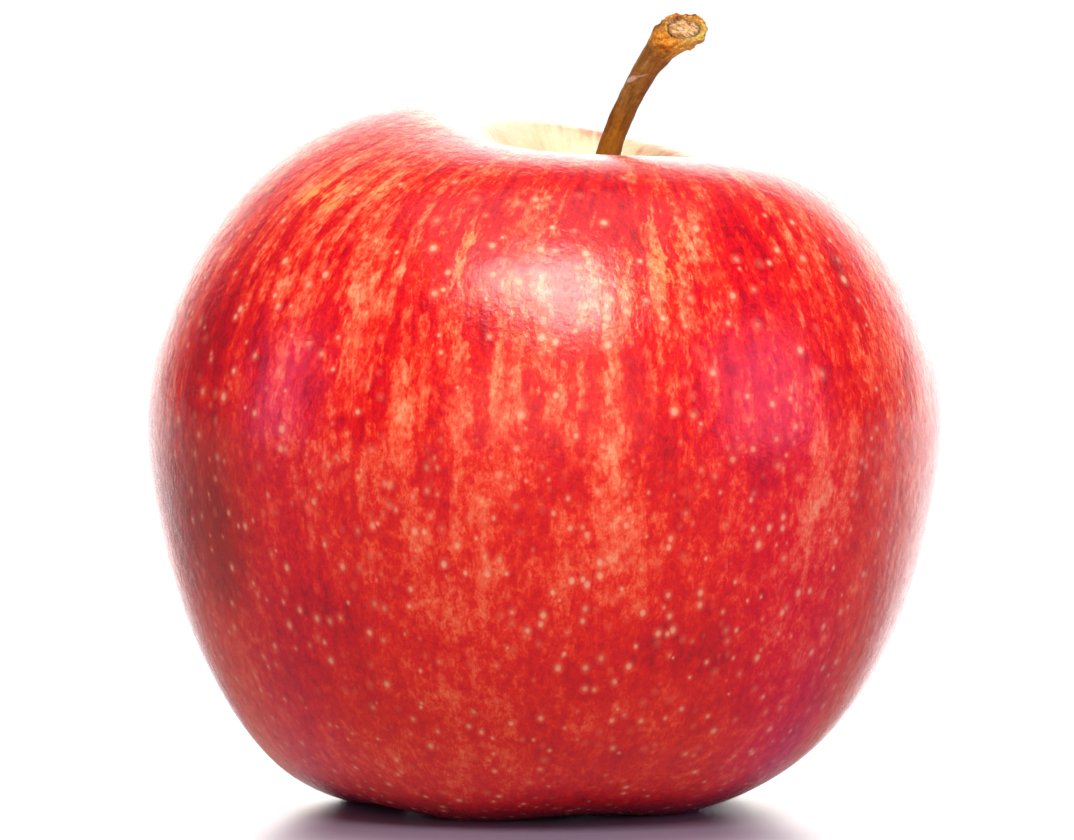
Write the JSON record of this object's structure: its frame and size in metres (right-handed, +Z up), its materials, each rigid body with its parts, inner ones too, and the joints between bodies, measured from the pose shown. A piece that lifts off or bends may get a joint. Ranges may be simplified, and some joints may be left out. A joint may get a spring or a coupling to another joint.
{
  "type": "red apple",
  "caption": "Ripe red eating apple with a deep stem cavity, a thin woody stem leaning over the rim and a dried calyx in the hollow underneath.",
  "frame": {"origin": "on the table, under the middle of the fruit at its widest", "axes": "+Z up along the core; the picture looks along +Y, with +X to its right, and the stem leans towards +X"},
  "size_m": [0.078, 0.078, 0.0774],
  "materials": {
    "skin": "waxy skin, mottled and streaked red over yellow with fine pale lenticels",
    "stem_bark": "dry, finely ribbed bark, ochre at the flared head",
    "dried_calyx": "dry, dull and papery brown"
  },
  "bodies": {
    "root": {"fruit": "skin", "stem": "stem_bark", "calyx": "dried_calyx"}
  },
  "joints": []
}
